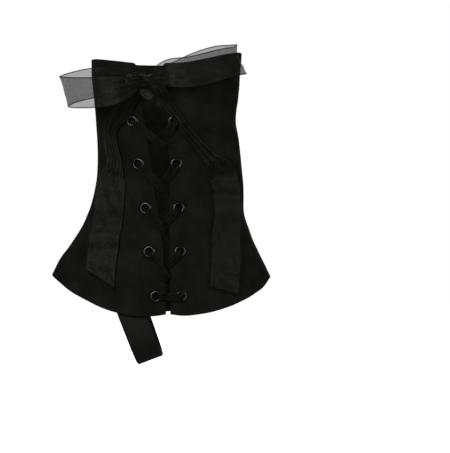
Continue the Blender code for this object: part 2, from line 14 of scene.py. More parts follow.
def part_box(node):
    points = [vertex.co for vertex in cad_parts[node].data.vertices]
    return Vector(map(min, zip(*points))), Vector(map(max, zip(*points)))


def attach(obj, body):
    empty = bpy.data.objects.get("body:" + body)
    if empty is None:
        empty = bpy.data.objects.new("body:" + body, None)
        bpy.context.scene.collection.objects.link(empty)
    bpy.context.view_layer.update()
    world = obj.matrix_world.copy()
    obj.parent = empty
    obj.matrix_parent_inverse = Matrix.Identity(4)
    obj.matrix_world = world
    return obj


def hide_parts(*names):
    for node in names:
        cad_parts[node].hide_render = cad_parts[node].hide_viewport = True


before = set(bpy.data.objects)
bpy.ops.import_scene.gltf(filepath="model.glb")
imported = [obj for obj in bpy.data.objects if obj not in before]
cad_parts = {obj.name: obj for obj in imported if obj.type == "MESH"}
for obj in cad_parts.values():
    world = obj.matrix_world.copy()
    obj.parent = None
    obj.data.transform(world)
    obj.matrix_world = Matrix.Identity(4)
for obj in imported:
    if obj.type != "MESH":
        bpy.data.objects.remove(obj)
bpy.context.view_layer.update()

# ---------------------------------------------------------------- sizes, mm
MM = 0.001  # in metres
WALL = 2.0
SEAM_PRESS = 0.1  # how far the edges sewn together press into each other
RIBBON_WIDTH = 22.0
RIBBON_THICK = 0.22
STRAP_WIDTH = 19.0
STRAP_WALL = 1.5
STRAP_DROP = 35.0  # of the arch's lowest point below the hem
STRAP_TUCK = 12.0  # of its ends above the hem, inside
STRAP_LEAN = math.radians(20.7)  # of its bottom towards the toe
STRAP_AT_HEM = -23.9  # the x of its middle there
STRAP_ROUND = 0.8  # the arch is this power of a half circle
CORNER_RADIUS = 3.0
HOLE_RADIUS = 3.0

Section = namedtuple("Section", "z back front half_width full_back full_front")
SECTIONS = [
    Section(-150, 104.0, 92.0, 44.0, 1.90, 1.75),
    Section(-136, 98.0, 87.0, 43.6, 1.90, 1.75),
    Section(-121, 91.5, 80.5, 43.0, 1.90, 1.75),
    Section(-106, 83.6, 74.2, 42.4, 1.92, 1.78),
    Section(-94, 77.6, 68.4, 41.8, 1.95, 1.82),
    Section(-83, 69.4, 63.2, 41.2, 1.98, 1.88),
    Section(-71, 61.8, 59.2, 40.6, 2.00, 1.94),
    Section(-60, 56.8, 55.7, 40.2, 2.05, 2.00),
    Section(-48, 52.9, 55.2, 39.9, 2.10, 2.05),
    Section(-36, 50.8, 54.7, 39.7, 2.10, 2.05),
    Section(-21, 50.1, 53.0, 39.8, 2.10, 2.05),
    Section(-7, 50.4, 51.4, 40.4, 2.10, 2.05),
    Section(6, 51.3, 49.4, 41.4, 2.10, 2.05),
    Section(21, 52.6, 50.9, 43.2, 2.10, 2.08),
    Section(36, 54.0, 52.2, 45.2, 2.10, 2.10),
    Section(50, 54.6, 53.4, 46.8, 2.10, 2.10),
    Section(62, 55.0, 54.0, 47.8, 2.10, 2.10),
]

Hem = namedtuple("Hem", "x z")
HEM = [
    Hem(-100, -92.0),
    Hem(-90, -99.0),
    Hem(-83, -105.0),
    Hem(-78, -109.0),
    Hem(-69, -115.8),
    Hem(-59, -121.2),
    Hem(-46, -127.4),
    Hem(-33, -131.4),
    Hem(-20, -133.6),
    Hem(-8, -133.2),
    Hem(2, -132.0),
    Hem(12, -133.0),
    Hem(24, -132.0),
    Hem(36, -129.6),
    Hem(52, -123.8),
    Hem(63, -118.0),
    Hem(71, -111.8),
    Hem(75, -106.0),
    Hem(90, -92.0),
]

Top = namedtuple("Top", "x laced_side plain_side")
TOP = [
    Top(-60, 50.6, 50.6),
    Top(-54, 50.0, 50.0),
    Top(-38, 47.6, 49.0),
    Top(-21, 45.4, 48.4),
    Top(-2, 45.4, 48.4),
    Top(12, 45.8, 49.4),
    Top(24, 48.0, 50.8),
    Top(40, 51.8, 52.6),
    Top(54, 55.0, 55.0),
    Top(60, 56.0, 56.0),
]

Opening = namedtuple("Opening", "z back front")
OPENING = [
    Opening(-150, 0.3, 3.4),
    Opening(-128, 0.0, 3.2),
    Opening(-106, -0.4, 3.0),
    Opening(-57, -6.2, 2.4),
    Opening(-7, -13.6, 1.8),
    Opening(27, -18.6, -0.6),
    Opening(56, -22.8, -3.4),
]

EyeletPair = namedtuple("EyeletPair", "back front z")
EYELET_PAIRS = [
    EyeletPair(-28.0, 5.4, 35.0),
    EyeletPair(-24.1, 5.8, 4.4),
    EyeletPair(-19.8, 7.4, -25.6),
    EyeletPair(-14.6, 9.0, -57.0),
    EyeletPair(-12.0, 10.1, -87.8),
    EyeletPair(-7.2, 11.0, -119.4),
]
EyeletPoint = namedtuple("EyeletPoint", "reach height")  # from the axis, and over the cloth

# A strand from each column meets the front edge at this share of the way down to the next row.
AT_FRONT_EDGE = {"back": 0.70, "front": 0.25}

# Soft folds of the worn cloth. Angles run round the spat in degrees: 0 is the back seam, 90 the
# middle of a side, 180 the front seam. A negative depth is a trough.
Fold = namedtuple("Fold", "side angle_a z_a angle_b z_b width depth")
FOLDS = [
    Fold(-1, 108, -6, 172, -13, 6.0, -1.1),
    Fold(-1, 112, 3, 170, -1, 5.0, 0.6),
    Fold(-1, 112, -20, 168, -26, 6.5, 0.6),
    Fold(-1, 106, -36, 160, -40, 5.5, -0.9),
    Fold(-1, 116, -49, 178, -51, 4.0, -0.8),
    Fold(-1, 120, -58, 170, -66, 6.0, 0.6),
    Fold(-1, 112, -76, 150, -86, 7.0, -0.7),
    Fold(-1, 118, 22, 165, 26, 7.0, -0.5),
    Fold(-1, 8, -30, 52, -24, 6.0, -0.7),
    Fold(-1, 4, -48, 58, -42, 6.5, 0.6),
    Fold(-1, 10, -62, 66, -66, 5.0, -0.8),
    Fold(-1, 30, -76, 74, -71, 4.0, -0.7),
    Fold(-1, 36, -90, 76, -88, 4.5, -0.6),
    Fold(-1, 20, -98, 60, -104, 7.0, 0.5),
    Fold(-1, 12, 12, 50, 8, 7.0, 0.5),
    Fold(1, 100, -8, 172, -14, 7.0, -1.0),
    Fold(1, 60, -22, 150, -28, 7.0, 0.6),
    Fold(1, 110, -38, 174, -44, 5.0, -0.9),
    Fold(1, 10, -34, 84, -28, 6.0, -0.8),
    Fold(1, 6, -52, 70, -44, 7.0, 0.6),
    Fold(1, 14, -66, 90, -72, 5.5, -0.8),
    Fold(1, 96, -62, 168, -72, 7.0, 0.5),
    Fold(1, 70, -94, 130, -90, 8.0, -0.6),
    Fold(1, 40, 18, 120, 14, 9.0, -0.5),
]

# The bow: its knot, and rows along each loop and down each tail.
Knot = namedtuple("Knot", "x z height across deep")
KNOT = Knot(-12.2, 33.0, 7.4, 5.32, 3.96)

LoopRow = namedtuple("LoopRow", "x y z half_width lean roll")
BACK_LOOP = [
    LoopRow(-14.5, -52.0, 32.2, 2.6, 6, 0),
    LoopRow(-19.2, -52.8, 31.2, 3.6, 6, 0),
    LoopRow(-27.0, -56.2, 28.0, 7.6, 4, 0),
    LoopRow(-38.0, -56.6, 25.2, 10.2, 3, 0),
    LoopRow(-52.0, -52.0, 24.2, 10.9, 5, 0),
    LoopRow(-64.0, -45.0, 24.4, 11.0, 10, 0),
    LoopRow(-71.0, -38.5, 25.3, 11.0, 16, 0),
    LoopRow(-71.6, -33.4, 26.4, 11.0, 16, 0),
    LoopRow(-66.0, -31.0, 28.8, 11.0, 11, 0),
    LoopRow(-54.0, -34.6, 31.4, 10.9, 6, 0),
    LoopRow(-41.0, -41.4, 32.8, 10.0, 2, 0),
    LoopRow(-30.0, -46.6, 33.8, 7.0, 2, 0),
    LoopRow(-19.9, -49.6, 34.8, 3.6, 4, 0),
    LoopRow(-14.5, -50.4, 34.4, 2.6, 4, 0),
]
FRONT_LOOP = [
    LoopRow(-12.0, -52.0, 32.8, 2.6, 4, 0),
    LoopRow(-7.6, -53.0, 34.0, 4.4, 4, 0),
    LoopRow(-2.6, -55.6, 36.6, 8.4, 2, 0),
    LoopRow(4.6, -58.2, 37.8, 10.2, 2, 0),
    LoopRow(17.0, -59.8, 38.4, 10.8, 6, 0),
    LoopRow(30.0, -57.6, 41.4, 11.0, 12, 6),
    LoopRow(42.4, -49.8, 45.2, 11.0, 20, 10),
    LoopRow(50.6, -40.4, 47.2, 11.0, 27, 4),
    LoopRow(52.2, -35.0, 47.8, 11.0, 27, 0),
    LoopRow(47.8, -32.6, 48.4, 11.0, 23, 0),
    LoopRow(37.0, -40.2, 47.2, 10.8, 16, 0),
    LoopRow(23.0, -47.2, 43.6, 9.8, 9, 0),
    LoopRow(9.0, -51.4, 39.4, 7.6, 5, 0),
    LoopRow(-3.0, -50.9, 36.4, 5.0, 4, 0),
    LoopRow(-12.0, -50.4, 34.0, 2.6, 4, 0),
]

TailRow = namedtuple("TailRow", "z inner width turn lift slant")
BACK_TAIL = [
    TailRow(31.0, -13.4, 4.6, 0, 8.6, 0.0),
    TailRow(27.0, -15.4, 7.2, 0, 8.0, 0.0),
    TailRow(18.0, -20.4, 12.0, 6, 4.8, 2.0),
    TailRow(11.0, -24.6, 13.6, 12, 3.6, 2.0),
    TailRow(5.0, -29.8, 11.0, 16, 3.2, 0.0),
    TailRow(-1.0, -33.8, 9.4, 16, 3.0, 0.0),
    TailRow(-10.0, -33.6, 9.8, 16, 2.8, 0.0),
    TailRow(-21.7, -31.0, 10.4, 17, 2.6, 0.0),
    TailRow(-29.5, -29.2, 14.2, 18, 2.4, 0.0),
    TailRow(-36.6, -28.2, 21.0, 18, 2.2, 0.0),
    TailRow(-47.6, -28.4, 22.0, 16, 2.0, 0.0),
    TailRow(-60.4, -29.8, 22.0, 14, 2.0, 0.0),
    TailRow(-78.0, -32.6, 22.0, 12, 2.0, 0.0),
    TailRow(-95.7, -34.6, 22.0, 12, 2.0, 3.0),
    TailRow(-113.6, -36.2, 22.0, 12, 2.0, 12.0),
]
FRONT_TAIL = [
    TailRow(36.4, -11.0, 6.2, 0, 12.0, 0.0),
    TailRow(32.0, -8.6, 7.4, 0, 14.0, 0.0),
    TailRow(25.3, -4.9, 7.6, 2, 11.5, 0.0),
    TailRow(18.0, -2.4, 6.4, 4, 4.4, 0.0),
    TailRow(6.8, 5.2, 6.6, 8, 4.2, 0.0),
    TailRow(-3.8, 13.4, 6.0, 14, 3.2, 0.0),
    TailRow(-17.2, 22.6, 8.6, 20, 3.0, 0.0),
    TailRow(-25.0, 27.8, 12.6, 23, 2.6, 0.0),
    TailRow(-30.0, 29.6, 18.0, 25, 2.2, 0.0),
    TailRow(-36.0, 31.0, 22.0, 26, 2.2, 0.0),
    TailRow(-47.0, 33.0, 22.0, 27, 2.2, 0.0),
    TailRow(-60.4, 33.3, 22.0, 26, 2.2, 0.0),
    TailRow(-78.0, 32.4, 22.0, 24, 2.2, 0.0),
    TailRow(-95.7, 31.8, 22.0, 22, 2.2, 0.0),
    TailRow(-114.6, 30.6, 22.0, 22, 2.2, -4.0),
]


# ---------------------------------------------------------------- the worn form
def curve_through(rows, key, column):
    """A smooth curve through one column of a table, for numbers or arrays."""
    knots = np.array([getattr(row, key) for row in rows], float)
    values = np.array([getattr(row, column) for row in rows], float)
    slopes = np.gradient(values, knots)

    def at(q):
        q = np.clip(q, knots[0], knots[-1])
        i = np.clip(np.searchsorted(knots, q) - 1, 0, len(knots) - 2)
        span = knots[i + 1] - knots[i]
        t = (q - knots[i]) / span
        start = (1 + 2 * t) * (1 - t) ** 2 * values[i] + t * (1 - t) ** 2 * span * slopes[i]
        end = t * t * (3 - 2 * t) * values[i + 1] + t * t * (t - 1) * span * slopes[i + 1]
        return start + end

    return at


SECTION = {c: curve_through(SECTIONS, "z", c) for c in Section._fields[1:]}
hem_at = curve_through(HEM, "x", "z")
TOP_AT = {-1: curve_through(TOP, "x", "laced_side"), 1: curve_through(TOP, "x", "plain_side")}
EDGES = {c: curve_through(OPENING, "z", c) for c in ("back", "front")}


def half_oval(x, z):
    """(reach, fullness) of the half of the section at height z that x lies in."""
    behind = np.asarray(x) < 0
    reach = np.where(behind, SECTION["back"](z), SECTION["front"](z))
    return reach, np.where(behind, SECTION["full_back"](z), SECTION["full_front"](z))


def ring_point(angle, z, side):
    """Points of the section at height z; angle 0 is the back seam and pi the front seam."""
    forward = -np.cos(angle)
    reach, full = half_oval(forward, z)
    x = np.sign(forward) * reach * np.abs(forward) ** (2 / full)
    y = SECTION["half_width"](z) * np.abs(np.sin(angle)) ** (2 / full) - SEAM_PRESS / 2
    return np.stack(np.broadcast_arrays(x, side * y, z), axis=-1)


def ring_angle(x, z):
    """The angle at which a section passes x."""
    reach, full = half_oval(x, z)
    share = np.minimum(np.abs(x) / reach, 1.0) ** (full / 2)
    return np.arccos(-np.sign(x) * share)


MM_PER_DEGREE = 0.87  # round an average section
FOLD_DEPTH = 2.0  # every fold's depth is this many times its column's
FOLD_BOW = 2.5  # how far a fold's line bends at its middle
FADE_OVER, FADE_FROM = 0.35, 0.25  # a fold starts at this strength and grows over this share
DIMPLE_DEPTH, DIMPLE_WIDTH = 0.45, 7.0  # where the lacing pulls at an eyelet
STITCH_DEPTH, STITCH_WIDTH, STITCH_FROM_SEAM = 0.28, 0.55, 3.4
SWELL_HEIGHT, SWELL_LENGTH = 0.75, 26.0
RIPPLE_HEIGHT, RIPPLE_LENGTH = 0.22, 9.0


def relief(angle, z, side):
    """How far the folds lift the cloth off its smooth form, at arrays of angles and heights."""
    along = np.degrees(angle) * MM_PER_DEGREE
    lift = np.zeros(np.shape(along + z))
    for fold in FOLDS:
        if fold.side != side:
            continue
        start = np.array([fold.angle_a * MM_PER_DEGREE, fold.z_a])
        run = np.array([fold.angle_b * MM_PER_DEGREE, fold.z_b]) - start
        length = np.hypot(*run)
        run = run / length
        t = ((along - start[0]) * run[0] + (z - start[1]) * run[1]) / length
        bow = FOLD_BOW * np.sin(np.pi * np.clip(t, 0, 1))
        off = (along - start[0]) * run[1] - (z - start[1]) * run[0] + bow
        fade = np.clip(np.minimum(t, 1 - t) / FADE_OVER + FADE_FROM, 0, 1)
        fade = fade * fade * (3 - 2 * fade)
        lift = lift + FOLD_DEPTH * fold.depth * fade * np.exp(-((off / fold.width) ** 2))
    if side < 0:
        for column in ("back", "front"):
            for pair in EYELET_PAIRS:
                at = np.degrees(ring_angle(getattr(pair, column), pair.z)) * MM_PER_DEGREE
                away = np.hypot(along - at, z - pair.z)
                lift = lift - DIMPLE_DEPTH * np.exp(-((away / DIMPLE_WIDTH) ** 2))
    for seam in (0.0, 180.0):
        away = np.abs(along - seam * MM_PER_DEGREE) - STITCH_FROM_SEAM
        lift = lift - STITCH_DEPTH * np.exp(-((away / STITCH_WIDTH) ** 2))
    return lift


def unevenness(points, seed):
    """A slow random swell of the cloth at each point, about half a millimetre."""
    flat = points.reshape(-1, 3)
    swell = [noise.noise(Vector(p) / SWELL_LENGTH + Vector((seed, 0, 0))) for p in flat]
    ripple = [noise.noise(Vector(p) / RIPPLE_LENGTH + Vector((0, seed, 0))) for p in flat]
    lift = SWELL_HEIGHT * np.array(swell) + RIPPLE_HEIGHT * np.array(ripple)
    return lift.reshape(points.shape[:-1])


def on_cloth(x, z, height=0.0, side=-1):
    """The point over (x, z), at a height over the folded cloth."""
    step = 0.4
    angle = ring_angle(x, z)
    at = ring_point(angle, z, side)
    ahead = ring_point(ring_angle(x + step, z), z, side)
    above = ring_point(ring_angle(x, z + step), z + step, side)
    out = np.cross(ahead - at, above - at) * -side
    out = out / np.linalg.norm(out, axis=-1, keepdims=True)
    lift = np.asarray(height + relief(angle, z, side))
    return at + out * lift[..., None]


def outward(x, z, side=-1):
    """The smooth form's unit normal over (x, z)."""
    out = on_cloth(x, z, 1.0, side) - on_cloth(x, z, 0.0, side)
    return out / np.linalg.norm(out)


def to_world(points):
    """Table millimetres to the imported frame's metres, fitted to the box of the plain panel."""
    return np.asarray(points, float) * FIT[0] + FIT[1]


# ---------------------------------------------------------------- mesh helpers
def normals_of(points):
    """Unit normals of a grid of points, rows by columns."""
    out = np.cross(np.gradient(points, axis=1), np.gradient(points, axis=0))
    return out / np.maximum(np.linalg.norm(out, axis=2, keepdims=True), 1e-9)


def shell(name, outer, inner, uv, material):
    """A closed thin body between two grids that share their rim. uv is in metres."""
    rows, columns = outer.shape[:2]
    index = np.arange(rows * columns).reshape(rows, columns)
    inside = np.zeros((rows, columns), int)
    inside[1:-1, 1:-1] = rows * columns + np.arange((rows - 2) * (columns - 2)).reshape(
        rows - 2, columns - 2
    )
    rim = inside == 0
    inside[rim] = index[rim]
    points = np.vstack([outer.reshape(-1, 3), inner[1:-1, 1:-1].reshape(-1, 3)])
    uvs = np.vstack([uv.reshape(-1, 2), uv[1:-1, 1:-1].reshape(-1, 2)])

    def quads(grid):
        corners = (grid[:-1, :-1], grid[:-1, 1:], grid[1:, 1:], grid[1:, :-1])
        return np.stack(corners, axis=-1).reshape(-1, 4)

    faces = np.vstack([quads(index), quads(inside)[:, ::-1]])
    mesh = bpy.data.meshes.new(name)
    mesh.from_pydata(to_world(points).tolist(), [], faces.tolist())
    layer = mesh.uv_layers.new(name="UVMap")
    layer.data.foreach_set("uv", uvs[faces.ravel()].astype(np.float32).ravel())
    mesh.shade_smooth()
    made = bpy.data.objects.new(name, mesh)
    bpy.context.scene.collection.objects.link(made)
    mesh.materials.append(material)
    if signed_volume(mesh) < 0:
        mesh.flip_normals()
    return made


def signed_volume(mesh):
    """A closed mesh's volume times six, negative where its faces turn inwards."""
    mesh.calc_loop_triangles()
    points = np.empty(len(mesh.vertices) * 3)
    mesh.vertices.foreach_get("co", points)
    points = points.reshape(-1, 3)
    corners = np.empty(len(mesh.loop_triangles) * 3, int)
    mesh.loop_triangles.foreach_get("vertices", corners)
    a, b, c = (points[corners.reshape(-1, 3)[:, k]] for k in range(3))
    return float(np.einsum("ij,ij->i", a, np.cross(b, c)).sum())


def spline(rows, steps):
    """Rows of numbers, with steps - 1 more between each two, on a smooth curve through them."""
    rows = np.array(rows, float)
    padded = np.vstack([2 * rows[0] - rows[1], rows, 2 * rows[-1] - rows[-2]])
    out = []
    for i in range(1, len(padded) - 2):
        a, b, c, d = padded[i - 1 : i + 3]
        for k in range(steps):
            t = k / steps
            curve = 2 * b + (c - a) * t + (2 * a - 5 * b + 4 * c - d) * t**2
            out.append(0.5 * (curve + (3 * b - a - 3 * c + d) * t**3))
    out.append(rows[-1])
    return np.array(out)


def arc_lengths(path):
    """The distance along a path to each of its points."""
    return np.append(0, np.cumsum(np.linalg.norm(np.diff(path, axis=0), axis=1)))


# ---------------------------------------------------------------- materials
def new_material(name):
    """A material with its node tree's nodes, links and shader."""
    made = bpy.data.materials.new(name)
    made.use_nodes = True
    nodes = made.node_tree.nodes
    return made, nodes, made.node_tree.links, nodes["Principled BSDF"]


def node(nodes, kind, **values):
    """A node with its input sockets set by name, spaces written as underscores."""
    made = nodes.new(kind)
    for key, value in values.items():
        made.inputs[key.replace("_", " ")].default_value = value
    return made


def noise_node(nodes, links, coordinates, scale, detail=4.0, roughness=0.6):
    made = node(nodes, "ShaderNodeTexNoise", Scale=scale, Detail=detail, Roughness=roughness)
    links.new(coordinates, made.inputs["Vector"])
    return made.outputs["Fac"]


def ramp(nodes, links, value, low, high, position=(0.35, 0.65)):
    """A colour that runs from low to high with a value, between two positions."""
    made = nodes.new("ShaderNodeValToRGB")
    made.color_ramp.elements[0].position = position[0]
    made.color_ramp.elements[1].position = position[1]
    made.color_ramp.elements[0].color = (*low, 1)
    made.color_ramp.elements[1].color = (*high, 1)
    links.new(value, made.inputs["Fac"])
    return made.outputs["Color"]


def bump(nodes, links, height, strength, distance, before=None):
    """The normal of a relief, over another relief's normal where one is given."""
    made = node(nodes, "ShaderNodeBump", Strength=strength, Distance=distance)
    links.new(height, made.inputs["Height"])
    if before:
        links.new(before, made.inputs["Normal"])
    return made.outputs["Normal"]


def maths(nodes, links, operation, first, second=None):
    """The result of a sum on sockets or plain numbers."""
    made = nodes.new("ShaderNodeMath")
    made.operation = operation
    for socket, value in zip(made.inputs, (first, second)):
        if isinstance(value, (int, float)):
            socket.default_value = value
        elif value is not None:
            links.new(value, socket)
    return made.outputs[0]


THREAD_PITCH = 0.0006  # metres, as in every material
SELVEDGE = 0.0009
RIB_PITCH, KNIT_PITCH = 0.0014, 0.0009  # of the elastic


def cloth_material():
    """Black felted cloth: a short nap over a close weave, cloudy where it is rubbed."""
    made, nodes, links, shader = new_material("felted black cloth")
    at = nodes.new("ShaderNodeTexCoord").outputs["Object"]
    cloud = noise_node(nodes, links, at, 48, detail=5, roughness=0.68)
    colour = ramp(nodes, links, cloud, (0.0028, 0.0030, 0.0019), (0.0056, 0.0060, 0.0042))
    links.new(colour, shader.inputs["Base Color"])
    shader.inputs["Roughness"].default_value = 0.95
    shader.inputs["Specular IOR Level"].default_value = 0.02
    shader.inputs["Sheen Weight"].default_value = 0.015
    shader.inputs["Sheen Roughness"].default_value = 0.4
    shader.inputs["Sheen Tint"].default_value = (0.80, 0.80, 0.72, 1)
    nap = noise_node(nodes, links, at, 1500, detail=3)
    felt = noise_node(nodes, links, at, 420, detail=4)
    normal = bump(nodes, links, felt, 0.5, 0.0005)
    links.new(bump(nodes, links, nap, 0.6, 0.0003, normal), shader.inputs["Normal"])
    return made


def ribbon_material():
    """Sheer organza: fine crossed threads, see-through between them, with close-woven edges."""
    made, nodes, links, shader = new_material("sheer black organza")
    uv = node(nodes, "ShaderNodeSeparateXYZ")
    links.new(nodes.new("ShaderNodeTexCoord").outputs["UV"], uv.inputs[0])
    along, across = uv.outputs["X"], uv.outputs["Y"]
    thread = 2 * math.pi / THREAD_PITCH
    warp = maths(nodes, links, "SINE", maths(nodes, links, "MULTIPLY", across, thread))
    weft = maths(nodes, links, "SINE", maths(nodes, links, "MULTIPLY", along, thread))
    weave = maths(nodes, links, "ADD", warp, weft)
    from_middle = maths(nodes, links, "ABSOLUTE", across)
    selvedge = maths(nodes, links, "GREATER_THAN", from_middle, RIBBON_WIDTH / 2 * MM - SELVEDGE)
    cover = maths(nodes, links, "MULTIPLY", weave, 0.04)
    cover = maths(nodes, links, "ADD", cover, 0.39)
    cover = maths(nodes, links, "ADD", cover, maths(nodes, links, "MULTIPLY", selvedge, 0.30))
    links.new(cover, shader.inputs["Alpha"])
    at = nodes.new("ShaderNodeTexCoord").outputs["Object"]
    crumple_and_sheen = noise_node(nodes, links, at, 260, detail=2)
    # Painted sheen: the crumples' relief also sets the colour, lighter where they stand high.
    colour = ramp(nodes, links, crumple_and_sheen, (0.0026, 0.0028, 0.0017), (0.0068, 0.0070, 0.0047))
    links.new(colour, shader.inputs["Base Color"])
    shader.inputs["Roughness"].default_value = 0.5
    shader.inputs["Specular IOR Level"].default_value = 0.055
    shader.inputs["Sheen Weight"].default_value = 0.01
    shader.inputs["Sheen Tint"].default_value = (0.9, 0.88, 0.80, 1)
    normal = bump(nodes, links, crumple_and_sheen, 0.5, 0.0006)
    links.new(bump(nodes, links, weave, 0.03, 0.00005, normal), shader.inputs["Normal"])
    return made


def eyelet_material():
    """Black nickel plate, a little worn in random patches."""
    made, nodes, links, shader = new_material("black nickel")
    at = nodes.new("ShaderNodeTexCoord").outputs["Object"]
    wear = noise_node(nodes, links, at, 900, detail=3)
    colour = ramp(nodes, links, wear, (0.010, 0.010, 0.008), (0.025, 0.0245, 0.020))
    links.new(colour, shader.inputs["Base Color"])
    shader.inputs["Metallic"].default_value = 1.0
    rough = node(nodes, "ShaderNodeMapRange", From_Min=0.3, From_Max=0.7, To_Min=0.25, To_Max=0.4)
    links.new(wear, rough.inputs["Value"])
    links.new(rough.outputs["Result"], shader.inputs["Roughness"])
    return made


def strap_material():
    """Ribbed black elastic: fine ribs along the strap and finer knitted rows across it, with
    painted shade in the grooves between them.
    """
    made, nodes, links, shader = new_material("ribbed black elastic")
    uv = node(nodes, "ShaderNodeSeparateXYZ")
    links.new(nodes.new("ShaderNodeTexCoord").outputs["UV"], uv.inputs[0])
    ribs = maths(nodes, links, "MULTIPLY", uv.outputs["Y"], 2 * math.pi / RIB_PITCH)
    rows = maths(nodes, links, "MULTIPLY", uv.outputs["X"], 2 * math.pi / KNIT_PITCH)
    ribs, rows = (maths(nodes, links, "SINE", v) for v in (ribs, rows))
    knit = maths(nodes, links, "ADD", ribs, maths(nodes, links, "MULTIPLY", rows, 0.4))
    # Painted shade: the colour follows the ribs' relief, darker in the grooves and lighter on the
    # tops.
    painted_rib_shade = node(nodes, "ShaderNodeMapRange", From_Min=-1.4, From_Max=1.4)
    links.new(knit, painted_rib_shade.inputs["Value"])
    rib_shade_tones = (0.0024, 0.0025, 0.0021), (0.0062, 0.0062, 0.0052)
    colour = ramp(nodes, links, painted_rib_shade.outputs["Result"], *rib_shade_tones, (0.0, 1.0))
    links.new(colour, shader.inputs["Base Color"])
    shader.inputs["Roughness"].default_value = 0.85
    shader.inputs["Specular IOR Level"].default_value = 0.1
    shader.inputs["Sheen Weight"].default_value = 0.01
    links.new(bump(nodes, links, knit, 0.5, 0.00025), shader.inputs["Normal"])
    return made


# ---------------------------------------------------------------- cloth panels
EDGE_STEPS = 4  # rings of points round a rolled edge
LEVELS = np.linspace(-140, 60, 81)  # the heights at which a panel's columns are spaced
NEAR_HEM, NEAR_TOP = -120.0, 50.0  # where the search for each edge's height starts
SOLVE_STEPS = 30


def rolled(length, count):
    """Distances from one edge to the other with close rings at both, and the roll's angles."""
    radius = WALL / 2
    turn = np.linspace(math.pi / 2, 0, EDGE_STEPS + 1)
    inset = radius * (1 - np.sin(turn))
    middle = np.linspace(radius, length - radius, count)[1:-1]
    distances = np.concatenate([inset, middle, length - inset[::-1]])
    return distances, np.concatenate([turn, np.zeros(count - 2), turn[::-1]])


def facing_out(points, side):
    """Unit normals of a panel's grid, on the side away from the leg."""
    out = normals_of(points)
    return -out if (out[:, :, 1] * side).mean() < 0 else out


def panel(name, side, start, end_at, columns, rows, edge=None):
    """A cloth panel with rolled edges, from the ring angle start to end_at(z). Where it has a
    lacing edge, the top corner there is rounded. Returns the object, its flat size and area."""
    shares = []
    q = np.linspace(0, 1, 241)
    for z in LEVELS:
        arc = arc_lengths(ring_point(start + (end_at(z) - start) * q, z, side))
        distances, turn_u = rolled(arc[-1], columns)
        shares.append(np.interp(distances, arc, q))
    shares = np.array(shares)
    count = shares.shape[1]

    def angle_at(z, j):
        share = np.interp(z, LEVELS, shares[:, j])
        return start + (end_at(z) - start) * share

    low, high = np.full(count, NEAR_HEM), np.full(count, NEAR_TOP)
    for j in range(count):
        for _ in range(SOLVE_STEPS):
            x = float(ring_point(angle_at(low[j], j), low[j], side)[0])
            low[j] = 0.5 * (low[j] + hem_at(x))
        x = float(ring_point(angle_at(NEAR_TOP, j), NEAR_TOP, side)[0])
        high[j] = TOP_AT[side](x)
        if edge:
            inside = min(abs(x - edge(NEAR_TOP)), CORNER_RADIUS)
            high[j] -= CORNER_RADIUS - math.sqrt(CORNER_RADIUS**2 - (CORNER_RADIUS - inside) ** 2)
    heights, turn_v = rolled(high.max() - low.min(), rows)
    up = heights / heights[-1]
    z = low[None, :] + (high - low)[None, :] * up[:, None]
    angle = np.stack([angle_at(z[:, j], j) for j in range(count)], axis=1)
    base = ring_point(angle, z, side)
    area = float(
        np.linalg.norm(
            np.cross(np.diff(base, axis=1)[:-1], np.diff(base, axis=0)[:, :-1]), axis=2
        ).sum()
    )
    lift = relief(angle, z, side) + unevenness(base, side * 3.7)
    folded = base + facing_out(base, side) * lift[..., None]
    out = facing_out(folded, side)
    radius = WALL / 2
    roll = (np.cos(turn_u)[None, :] * np.cos(turn_v)[:, None])[..., None]
    outer = folded - out * radius * (1 - roll)
    inner = folded - out * radius * (1 + roll)
    along = np.array([arc_lengths(row) for row in base])
    uv = np.stack([along, z], axis=-1) * MM
    made = shell(name, outer, inner, uv, CLOTH)
    upward = np.array([arc_lengths(base[:, j]) for j in range(count)])
    flat = (along[:, -1].max() * MM, upward[:, -1].max() * MM)
    return made, flat, area * MM**2


def turned(x, z, profile, sides):
    """A profile's points, turned round the cloth's normal over (x, z): sides by points."""
    centre, axis = on_cloth(x, z), outward(x, z)
    across = np.cross(axis, [0, 0, 1.0])
    across /= np.linalg.norm(across)
    up = np.cross(across, axis)
    turn = 2 * np.pi * np.arange(sides)[:, None] / sides
    rays = across * np.cos(turn) + up * np.sin(turn)
    reach, height = np.array(profile).T
    return centre + rays[:, None, :] * reach[:, None] + axis * height[:, None]


def punch(target, column):
    """Cuts the round holes that a column of eyelets is set in."""
    points, faces, sides = [], [], 32
    ends = [EyeletPoint(HOLE_RADIUS, -WALL - 3.0), EyeletPoint(HOLE_RADIUS, 3.0)]
    for pair in EYELET_PAIRS:
        first = len(points)
        rings = turned(getattr(pair, column), pair.z, ends, sides)
        points += [*rings[:, 0], *rings[:, 1]]
        low = [first + k for k in range(sides)]
        high = [first + sides + k for k in range(sides)]
        faces += [tuple(reversed(low)), tuple(high)]
        for k in range(sides):
            m = (k + 1) % sides
            faces.append((low[k], low[m], high[m], high[k]))
    mesh = bpy.data.meshes.new("holes")
    mesh.from_pydata(to_world(points).tolist(), [], faces)
    if signed_volume(mesh) < 0:
        mesh.flip_normals()
    cutter = bpy.data.objects.new("holes", mesh)
    bpy.context.scene.collection.objects.link(cutter)
    cut = target.modifiers.new("holes", "BOOLEAN")
    cut.solver = "EXACT"
    cut.object = cutter
    whole = target.data
    evaluated = target.evaluated_get(bpy.context.evaluated_depsgraph_get())
    target.data = bpy.data.meshes.new_from_object(evaluated)
    target.modifiers.clear()
    bpy.data.objects.remove(cutter)
    bpy.data.meshes.remove(whole)
    target.data.set_sharp_from_angle(angle=math.radians(50))


